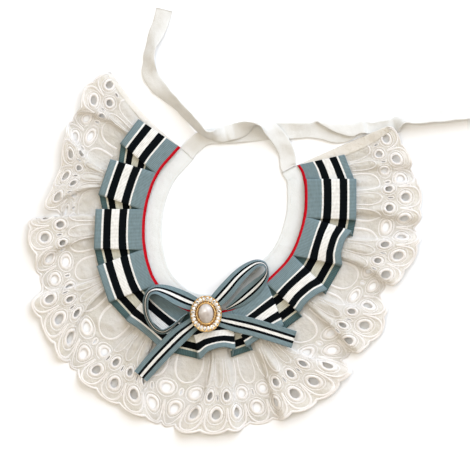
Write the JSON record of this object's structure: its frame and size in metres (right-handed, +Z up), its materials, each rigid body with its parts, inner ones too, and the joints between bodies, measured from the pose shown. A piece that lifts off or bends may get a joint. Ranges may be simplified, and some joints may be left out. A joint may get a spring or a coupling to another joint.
{
  "type": "lace pet bandana",
  "caption": "Bib collar for a small pet, laid flat: eyelet lace flounce, box-pleated ribbon frill, neckband with ties, ribbon bow and oval brooch.",
  "frame": {"origin": "centre of the whole part's outline, on the surface that it lies on", "axes": "+Z up off the surface, +Y from the bib's front edge towards the neck ties, +X towards the tie that runs off to the right"},
  "size_m": [0.3238, 0.3027, 0.0206],
  "materials": {
    "white_cotton": "matt woven cotton bias tape",
    "eyelet_lace": "sheer embroidered eyelet lace",
    "slate_ribbon": "ribbed ribbon with a low sheen",
    "bow_ribbon": "ribbed ribbon with a low sheen",
    "gold_setting": "polished gold-coloured plating",
    "pearl": "glossy pearl"
  },
  "bodies": {
    "root": {"neckband": "white_cotton", "tie_left": "white_cotton", "tie_right": "white_cotton", "lace_flounce": "eyelet_lace", "ribbon_frill": "slate_ribbon", "bow_loop_left": "bow_ribbon", "bow_loop_right": "bow_ribbon", "bow_tail_left": "bow_ribbon", "bow_tail_right": "bow_ribbon", "brooch_setting": "gold_setting", "brooch_pearl": "pearl"}
  },
  "joints": []
}
